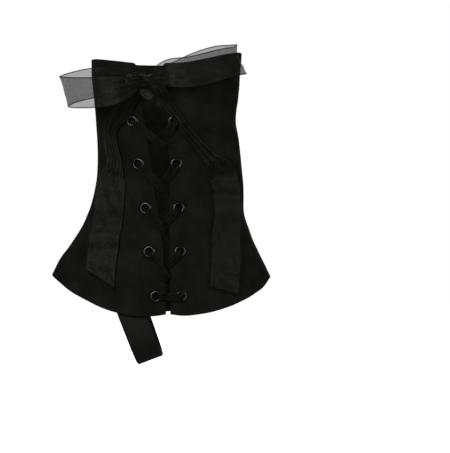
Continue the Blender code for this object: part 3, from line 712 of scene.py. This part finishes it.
# ---------------------------------------------------------------- eyelets
EYELET_PROFILE = [
    EyeletPoint(2.40, 0.50),
    EyeletPoint(2.48, 0.95),
    EyeletPoint(2.80, 1.24),
    EyeletPoint(3.25, 1.32),
    EyeletPoint(3.80, 1.18),
    EyeletPoint(4.30, 0.82),
    EyeletPoint(4.58, 0.42),
    EyeletPoint(4.60, 0.22),
    EyeletPoint(4.40, 0.10),
    EyeletPoint(2.86, 0.10),
    EyeletPoint(2.86, -2.30),
    EyeletPoint(4.00, -2.35),
    EyeletPoint(4.10, -2.60),
    EyeletPoint(3.80, -2.90),
    EyeletPoint(3.00, -3.00),
    EyeletPoint(2.50, -2.75),
    EyeletPoint(2.40, -2.20),
]


def eyelet(name, column, row):
    """A set eyelet: its profile turned round the cloth's normal."""
    pair = EYELET_PAIRS[row]
    faces, sides, count = [], 48, len(EYELET_PROFILE)
    points = turned(getattr(pair, column), pair.z, EYELET_PROFILE, sides).reshape(-1, 3)
    for k in range(sides):
        after = (k + 1) % sides
        for j in range(count):
            m = (j + 1) % count
            faces.append((k * count + j, k * count + m, after * count + m, after * count + j))
    mesh = bpy.data.meshes.new(name)
    mesh.from_pydata(to_world(points).tolist(), [], faces)
    if signed_volume(mesh) < 0:
        mesh.flip_normals()
    mesh.shade_smooth()
    mesh.set_sharp_from_angle(angle=math.radians(60))
    made = bpy.data.objects.new(name, mesh)
    bpy.context.scene.collection.objects.link(made)
    mesh.materials.append(METAL)
    return made


# ---------------------------------------------------------------- ribbon
HALF_RIBBON = RIBBON_WIDTH / 2
RIBBON_COLUMNS = 41
FLAT_FROM = 0.9  # a ribbon this near its full width has no pleats left
CLEARANCE = 0.9  # of a ribbon's middle from the cloth under it
WRINKLE_LENGTH, WRINKLES_ACROSS = 7.0, 1.6

Drift = namedtuple("Drift", "phase length")
DRIFTS = [Drift(0.8, 15.0), Drift(0.35, 6.0)]  # how the pleats wander along a ribbon
# How far the slope of a pleated ribbon swings, in radians, and how narrow each swing makes it.
SWINGS = np.linspace(0, 2.05, 60)
NARROWING = np.array([np.cos(a * np.sin(np.linspace(0, math.pi, 90))).mean() for a in SWINGS])


def gathered(half_width, v, pleats, phase, height):
    """Where the points v, from -1 to 1 over the ribbon's width, lie when the ribbon is gathered to
    each half width: along the width, and up from it. The pleats take up the rest as a meander, and
    lie over, so they stand only a share of its height."""
    share = half_width / HALF_RIBBON / FLAT_FROM
    swing = np.interp(share, NARROWING[::-1], SWINGS[::-1])
    uneven = 1 + 0.10 * np.sin(1.9 * v[None, :] + phase[:, None])
    angle = swing[:, None] * uneven * np.sin(math.pi * pleats * v[None, :] + phase[:, None])

    def summed(slope):
        steps = (slope[:, 1:] + slope[:, :-1]) / 2 * (v[1] - v[0]) * HALF_RIBBON
        return np.concatenate([np.zeros((len(slope), 1)), np.cumsum(steps, axis=1)], axis=1)

    lateral, rise = summed(np.cos(angle)), summed(np.sin(angle))
    lateral = (lateral / lateral[:, -1:] * 2 - 1) * half_width[:, None]
    rise = rise - rise[:, -1:] * (v[None, :] + 1) / 2
    rise = rise - rise.mean(axis=1, keepdims=True)
    return lateral, rise * height


def kept_off_cloth(points):
    """The same points, moved out where the laced side's cloth would come through them."""
    x, y, z = points[..., 0], points[..., 1], points[..., 2]
    inside = np.abs(x) < half_oval(x, z)[0] - 2.0
    surface = on_cloth(np.where(inside, x, 0.0), z, CLEARANCE)[..., 1]
    return np.stack([x, np.where(inside, np.minimum(y, surface), y), z], axis=-1)


def ribbon(
    name, path, across, half_width, pleats, seed, crinkle=0.3, height=0.8, slant=0.0, over=True
):
    """A stretch of the ribbon, gathered where it is narrower than its full width. slant moves its
    far edge back along it, in mm. Returns the object and its length."""
    rows = len(path)
    tangents = np.gradient(path, axis=0)
    tangents /= np.linalg.norm(tangents, axis=1, keepdims=True)
    across = across - tangents * np.einsum("ij,ij->i", across, tangents)[:, None]
    across /= np.linalg.norm(across, axis=1, keepdims=True)
    facing = np.cross(tangents, across)
    length = arc_lengths(path)
    v = np.linspace(-1, 1, RIBBON_COLUMNS)
    starts = np.random.default_rng(seed).uniform(0, 2 * math.pi, 3)
    phase = starts[0]
    for drift, start in zip(DRIFTS, starts[1:]):
        phase = phase + drift.phase * np.sin(length / drift.length + start)
    lateral, rise = gathered(np.minimum(half_width, HALF_RIBBON), v, pleats, phase, height)
    wrinkle = np.zeros((rows, RIBBON_COLUMNS))
    for i in range(rows):
        for j in range(RIBBON_COLUMNS):
            at = Vector((length[i] / WRINKLE_LENGTH, v[j] * WRINKLES_ACROSS, seed * 5.1))
            wrinkle[i, j] = noise.noise(at) + 0.5 * noise.noise(at * 2.3)
    back = np.broadcast_to(slant, rows)[:, None] * (v[None, :] + 1) / 2
    points = path[:, None, :] + across[:, None, :] * lateral[..., None]
    points = points + facing[:, None, :] * (rise + crinkle * wrinkle)[..., None]
    points = points - tangents[:, None, :] * back[..., None]
    if over:
        points = kept_off_cloth(points)
    out = normals_of(points) * RIBBON_THICK / 2
    uv = np.stack(np.broadcast_arrays(length[:, None], v * HALF_RIBBON), axis=-1) * MM
    inside = np.zeros((rows, RIBBON_COLUMNS, 1))
    inside[1:-1, 1:-1] = 1
    return shell(name, points + out * inside, points - out * inside, uv, ORGANZA), length[-1]


def loop(name, rows, seed):
    """A loop of the bow, from the knot round and back to the knot."""
    stations = spline(rows, 12)
    lean, roll = np.radians(stations[:, 4]), np.radians(stations[:, 5])
    down = np.stack([np.sin(lean), -np.sin(roll), -np.cos(lean) * np.cos(roll)], axis=1)
    return ribbon(name, stations[:, :3], down, stations[:, 3], 4, seed, crinkle=0.5)


def tail(name, rows, way, seed):
    """A hanging end of the ribbon, with a slanting cut."""
    stations = spline(rows, 10)
    z, inner, width, turn, lift, slant = stations.T
    turn = np.radians(turn)
    near = on_cloth(inner, z, lift)
    run = np.stack([way * np.cos(turn), np.sin(turn), 0 * turn], axis=1)
    middle = near + run * width[:, None] / 2
    return ribbon(name, middle, run, width / 2, 2.5, seed, crinkle=0.4, height=0.42, slant=slant)


Station = namedtuple("Station", "x z height half_width")


def strand(name, stations, seed):
    """A stretch of the lacing, gathered into a narrow bundle, through its stations."""
    rows = spline(stations, 6)
    path = on_cloth(rows[:, 0], rows[:, 1], rows[:, 2])
    tangents = np.gradient(path, axis=0)
    tangents /= np.linalg.norm(tangents, axis=1, keepdims=True)
    across, side = [], None
    for row, tangent in zip(rows, tangents):
        lying = np.cross(outward(row[0], row[1]), tangent)
        size = np.linalg.norm(lying)
        if side is None or size > 0.35:  # else it runs straight in or out, and keeps its side
            side = lying / max(size, 1e-9)
        side = side - tangent * side.dot(tangent)
        side /= np.linalg.norm(side)
        across.append(side)
    return ribbon(name, path, np.array(across), rows[:, 3], 4, seed, crinkle=0.15, over=False)


UNDER = -(WALL + 1.6)  # a strand's middle where it lies under a panel
OVER = 1.7  # and over one
PAST_EDGE = 3.0  # it lies flat under a panel from this far in
DIVE_FROM_EDGE = 3.4  # both strands dive near the front edge, or midway in a narrow opening
DIVE_LENGTH, DIVE_SHARE = 4.0, 0.52  # a dive is no longer than this share of the opening
ROOM = 2.0  # an opening with this much left beside a dive holds one more station

Mark = namedtuple("Mark", "reach height half_width")  # reach is from where the strand leaves


def out_of_eyelet(at, towards):
    """Stations from inside an eyelet's bore, over its flange and down onto the cloth."""
    (x, z), way = at, np.array(towards) - np.array(at)
    way = way / np.linalg.norm(way)
    return [
        Station(x - 0.3 * way[0], z - 0.3 * way[1], -1.4, 1.0),
        Station(x, z, 1.2, 1.3),
        Station(x + 2.0 * way[0], z + 2.0 * way[1], 2.9, 2.0),
        Station(x + 4.6 * way[0], z + 4.6 * way[1], 2.7, 2.8),
        Station(x + 8.0 * way[0], z + 8.0 * way[1], OVER, 3.3),
    ]


def up_into_eyelet(at, coming_from):
    """Stations from under a panel, round the eyelet's rim and up into its bore."""
    (x, z), way = at, np.array(at) - np.array(coming_from)
    way = way / np.linalg.norm(way)
    return [
        Station(x - 7.2 * way[0], z - 7.2 * way[1], UNDER - 0.4, 2.4),
        Station(x - 4.4 * way[0], z - 4.4 * way[1], -5.0, 2.1),
        Station(x - 1.6 * way[0], z - 1.6 * way[1], -4.9, 1.6),
        Station(x + 0.1 * way[0], z + 0.1 * way[1], -3.2, 1.1),
        Station(x + 0.2 * way[0], z + 0.2 * way[1], -1.9, 1.0),
    ]


def meet_edge(start, finish, edge):
    """Where the straight line from start to finish, both (x, z), meets a lacing edge."""
    share = 0.5
    for _ in range(SOLVE_STEPS):
        z = start[1] + (finish[1] - start[1]) * share
        share = (edge(z) - start[0]) / (finish[0] - start[0])
    return edge(z), z


def crossing_strand(name, row, column, seed):
    """From an eyelet over its own panel, down through the opening, and under the other panel to
    the next eyelet down. The strand from the back lies over the other one."""
    other = "front" if column == "back" else "back"
    start = (getattr(EYELET_PAIRS[row], column), EYELET_PAIRS[row].z)
    finish = (getattr(EYELET_PAIRS[row + 1], other), EYELET_PAIRS[row + 1].z)
    z = start[1] + (finish[1] - start[1]) * AT_FRONT_EDGE[column]
    at_front = (EDGES["front"](z), z)
    if column == "back":
        leave, reach = meet_edge(start, at_front, EDGES["back"]), at_front
    else:
        leave, reach = at_front, meet_edge(at_front, finish, EDGES["back"])
    gap = abs(reach[0] - leave[0])
    from_edge = min(gap / 2, DIVE_FROM_EDGE)
    centre = gap - from_edge if column == "back" else from_edge
    half = min(DIVE_SHARE * gap, DIVE_LENGTH) / 2
    marks = [
        Mark(centre - half, 0.8, 2.7),
        Mark(centre, -0.9, 2.5),
        Mark(centre + half, -WALL - 1.0, 2.4),
    ]
    if column == "back" and centre - half > ROOM:
        marks.insert(0, Mark(0.0, 1.4, 3.0))
    if column == "front" and gap - centre - half > ROOM:
        marks.append(Mark(gap, UNDER + 0.3, 2.6))
    stations = out_of_eyelet(start, leave)
    for mark in marks:
        x, z = (a + (b - a) * mark.reach / gap for a, b in zip(leave, reach))
        stations.append(Station(x, z, mark.height, mark.half_width))
    onward = np.subtract(finish, reach)
    past = np.array(reach) + onward * PAST_EDGE / np.hypot(*onward)
    stations.append(Station(*past, UNDER, 2.6))
    return strand(name, stations + up_into_eyelet(finish, past), seed)


def bar_strand(name, seed):
    """The straight bar over the bottom pair of eyelets."""
    pair = EYELET_PAIRS[-1]
    start, finish = (pair.back, pair.z), (pair.front, pair.z)
    middle = Station((pair.back + pair.front) / 2, pair.z - 0.6, 1.9, 2.6)
    stations = out_of_eyelet(start, finish)[:4] + [middle] + out_of_eyelet(finish, start)[3::-1]
    return strand(name, stations, seed)


def end_strand(name, column, way, seed):
    """From a top eyelet, under the panel, out through the opening and up to the knot."""
    pair = EYELET_PAIRS[0]
    start = (getattr(pair, column), pair.z)
    brink = (EDGES[column](pair.z) + 2.2 * way, pair.z - 1.0)
    landing = (KNOT.x - 1.9 * way, KNOT.z - 0.4)
    stations = up_into_eyelet(start, brink)[::-1] + [
        Station(*brink, UNDER + 1.6, 2.6),
        Station((brink[0] + landing[0]) / 2, landing[1] - 2.0, 0.4, 2.6),
        Station(*landing, 4.4, 2.2),
    ]
    return strand(name, stations, seed)


def knot(name, seed):
    """The gathered ribbon wrapped round the bow's middle."""
    centre = on_cloth(KNOT.x, KNOT.z, KNOT.height)
    turn = np.radians(np.linspace(-190, 165, 80))
    path = centre + np.stack(
        [
            KNOT.across * np.sin(turn),
            -KNOT.deep * np.cos(turn),
            0.9 * np.sin(turn * 0.7 + 0.5),
        ],
        axis=1,
    )
    across = np.tile([0.12, 0, 1.0], (len(turn), 1))
    half_width = 3.2 + 0.5 * np.cos(turn)
    return ribbon(name, path, across, half_width, 3, seed, crinkle=0.2)


# ---------------------------------------------------------------- the strap
def strap(name):
    """The elastic band, sewn inside both hems and passing under the arch."""
    down = np.array([math.sin(STRAP_LEAN), 0, -math.cos(STRAP_LEAN)])
    across = np.array([math.cos(STRAP_LEAN), 0, math.sin(STRAP_LEAN)])
    hem_middle = np.array([STRAP_AT_HEM, 0, float(hem_at(STRAP_AT_HEM))])
    columns, steps, held_rows = 25, 60, 12
    drops = np.concatenate([np.linspace(-STRAP_TUCK, 0, held_rows), np.zeros(steps)])
    shares = np.ones(held_rows + steps)
    turn = np.linspace(0, math.pi / 2, steps + 1)[1:]
    drops[held_rows:] = STRAP_DROP * np.sin(turn) ** STRAP_ROUND
    shares[held_rows:] = np.maximum(np.cos(turn), 0) ** STRAP_ROUND
    grids = []
    for inset in (0.0, STRAP_WALL / 2, STRAP_WALL):
        grid = []
        for s in np.linspace(-0.5, 0.5, columns):
            held = hem_middle + across * STRAP_WIDTH * s + down * np.minimum(drops, 0)[:, None]
            at = hem_middle + across * STRAP_WIDTH * s + down * drops[:, None]
            width = on_cloth(held[:, 0], held[:, 2], -(WALL + 0.8) - inset, 1)[:, 1]
            at = at - down * inset * (1 - shares)[:, None]
            at[:, 1] = width * shares
            mirrored = at[:-1] * np.array([1, -1, 1])
            grid.append(np.vstack([mirrored, at[::-1]]))
        grids.append(np.array(grid))
    outer, middle, inner = grids
    for k in (0, -1):
        outer[k], inner[k] = middle[k], middle[k]
        outer[:, k], inner[:, k] = middle[:, k], middle[:, k]
    along = arc_lengths(middle[columns // 2])
    s = np.linspace(-0.5, 0.5, columns) * STRAP_WIDTH
    uv = np.stack(np.broadcast_arrays(along[None, :], s[:, None]), axis=-1) * MM
    return shell(name, outer, inner, uv, ELASTIC), along[-1]


# ---------------------------------------------------------------- assembly
def fitted():
    """Scale and shift that carry the tables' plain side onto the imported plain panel's box."""
    angle, up = np.meshgrid(np.linspace(0, math.pi, 121), np.linspace(0, 1, 61))
    low = np.full(121, NEAR_HEM)
    for _ in range(SOLVE_STEPS):
        low = 0.5 * (low + hem_at(ring_point(angle[0], low, 1)[:, 0]))
    high = TOP_AT[1](ring_point(angle[0], NEAR_TOP, 1)[:, 0])
    points = ring_point(angle, low + (high - low) * up, 1).reshape(-1, 3)
    box_low, box_high = (np.array(corner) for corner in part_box("inner_side"))
    lengths, heights = points.max(0) - points.min(0), box_high - box_low
    scale = np.full(3, heights[2] / lengths[2])
    scale[0] = heights[0] / lengths[0]
    shift = box_low - points.min(0) * scale
    shift[1] = 0.0
    return scale, shift


def set_up(piece, node_name):
    """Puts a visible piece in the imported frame, in place of one plain node."""
    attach(piece, "root")
    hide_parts(node_name)
    return piece


def add_cloth():
    back, front = EDGES["back"], EDGES["front"]
    plans = [
        ("outer_back", -1, 0.0, lambda z: ring_angle(back(z), z), 88, 150, back),
        ("outer_front", -1, math.pi, lambda z: ring_angle(front(z), z), 88, 150, front),
        ("inner_side", 1, 0.0, lambda z: math.pi + 0 * np.asarray(z), 170, 150, None),
    ]
    for name, side, start, end_at, columns, rows, edge in plans:
        piece, flat, area = panel(f"{name}_cloth", side, start, end_at, columns, rows, edge)
        if edge:
            punch(piece, name.removeprefix("outer_"))
        set_up(piece, name)
    piece, length = strap("stirrup_strap_elastic")
    set_up(piece, "stirrup_strap")
    flat = (STRAP_WIDTH * MM, length * MM)


def add_ribbon():
    made = []
    for row in range(len(EYELET_PAIRS) - 1):
        for k, column in enumerate(("back", "front")):
            name = f"lace_from_{column}_{row + 1}"
            made.append((name, crossing_strand(f"{name}_ribbon", row, column, 11 + 2 * row + k)))
    made.append(("lace_bar", bar_strand("lace_bar_ribbon", 31)))
    made.append(("lace_end_back", end_strand("lace_end_back_ribbon", "back", 1, 32)))
    made.append(("lace_end_front", end_strand("lace_end_front_ribbon", "front", -1, 33)))
    cloths = ["outer_back_cloth", "outer_front_cloth"]
    holds = {name: ("gathered", cloths) for name, _ in made}
    made.append(("bow_knot", knot("bow_knot_ribbon", 41)))
    holds["bow_knot"] = ("gathered", ["lace_end_back_ribbon", "lace_end_front_ribbon"])
    for end, rows, seed in (("back", BACK_LOOP, 51), ("front", FRONT_LOOP, 52)):
        made.append((f"bow_loop_{end}", loop(f"bow_loop_{end}_ribbon", rows, seed)))
        holds[f"bow_loop_{end}"] = ("gathered", ["bow_knot_ribbon"])
    for end, rows, way, seed in (("back", BACK_TAIL, -1, 61), ("front", FRONT_TAIL, 1, 62)):
        made.append((f"bow_tail_{end}", tail(f"bow_tail_{end}_ribbon", rows, way, seed)))
        holds[f"bow_tail_{end}"] = ("hung", ["bow_knot_ribbon"])
    for name, (piece, length) in made:
        set_up(piece, name)


def add_eyelets():
    for row in range(len(EYELET_PAIRS)):
        for column in ("back", "front"):
            name = f"eyelet_{column}_{row + 1}"
            set_up(eyelet(f"{name}_metal", column, row), name)


# ---------------------------------------------------------------- studio
SHOE_SOLE = -0.204  # where the shoe's sole would stand
AIM = (0.0418, 0.0, -0.0699)
CAMERA_DISTANCE = 2.2
FRAME_HEIGHT = 0.3264  # metres of the leg's plane that the picture is tall
AMBIENT = 0.25  # how strongly the white surroundings light the piece


def add_camera():
    """A long lens, level, square on to the laced side."""
    data = bpy.data.cameras.new("camera")
    made = bpy.data.objects.new("camera", data)
    bpy.context.scene.collection.objects.link(made)
    made.location = (AIM[0], -CAMERA_DISTANCE, AIM[2])
    made.rotation_euler = (math.pi / 2, 0, 0)
    data.lens = data.sensor_width * CAMERA_DISTANCE / FRAME_HEIGHT
    bpy.context.scene.camera = made


def add_light(name, location, size, power, aim=(0.0, 0.0, -0.04), tall=None):
    """A soft light that the camera can't see: square, or a strip where it is given as tall."""
    data = bpy.data.lights.new(name, "AREA")
    data.shape = "RECTANGLE"
    data.size, data.size_y = size, tall or size
    data.energy = power
    made = bpy.data.objects.new(name, data)
    bpy.context.scene.collection.objects.link(made)
    made.location = location
    made.visible_camera = False
    towards = Vector(aim) - Vector(location)
    made.rotation_euler = towards.to_track_quat("-Z", "Y").to_euler()


def add_studio():
    """The white surroundings, the pale floor, the lights and the view's tone curve."""
    mesh = bpy.data.meshes.new("floor")
    reach = 30.0
    corners = [(-reach, -reach), (reach, -reach), (reach, reach), (-reach, reach)]
    mesh.from_pydata([(x, y, SHOE_SOLE) for x, y in corners], [], [(0, 1, 2, 3)])
    floor = bpy.data.objects.new("floor", mesh)
    bpy.context.scene.collection.objects.link(floor)
    pale, _, _, shader = new_material("pale floor")
    shader.inputs["Base Color"].default_value = (0.8, 0.8, 0.8, 1)
    shader.inputs["Roughness"].default_value = 1.0
    shader.inputs["Specular IOR Level"].default_value = 0.0
    shader.inputs["Emission Color"].default_value = (1, 1, 1, 1)
    shader.inputs["Emission Strength"].default_value = 0.8
    mesh.materials.append(pale)
    floor.visible_diffuse = floor.visible_glossy = False
    world = bpy.data.worlds.new("white studio")
    world.use_nodes = True
    nodes, links = world.node_tree.nodes, world.node_tree.links
    seen = nodes.new("ShaderNodeLightPath").outputs["Is Camera Ray"]
    strength = maths(nodes, links, "MULTIPLY", seen, 1.0 - AMBIENT)
    strength = maths(nodes, links, "ADD", strength, AMBIENT)
    nodes["Background"].inputs["Color"].default_value = (1, 1, 1, 1)
    links.new(strength, nodes["Background"].inputs["Strength"])
    bpy.context.scene.world = world
    add_light("key", (-0.3, -0.72, 0.2), 0.3, 8)
    add_light("fill", (1.5, -1.1, 0.4), 0.8, 24)
    add_light("back", (0.2, 1.6, 0.7), 0.8, 16)
    add_light("inside", (-0.004, 0.004, -0.05), 0.02, 0.03, aim=(-0.004, 1.0, -0.05), tall=0.17)
    bpy.context.scene.view_settings.view_transform = "Standard"


FIT = fitted()
add_camera()
CLOTH = cloth_material()
ORGANZA = ribbon_material()
METAL = eyelet_material()
ELASTIC = strap_material()
add_cloth()
add_eyelets()
add_ribbon()
add_studio()
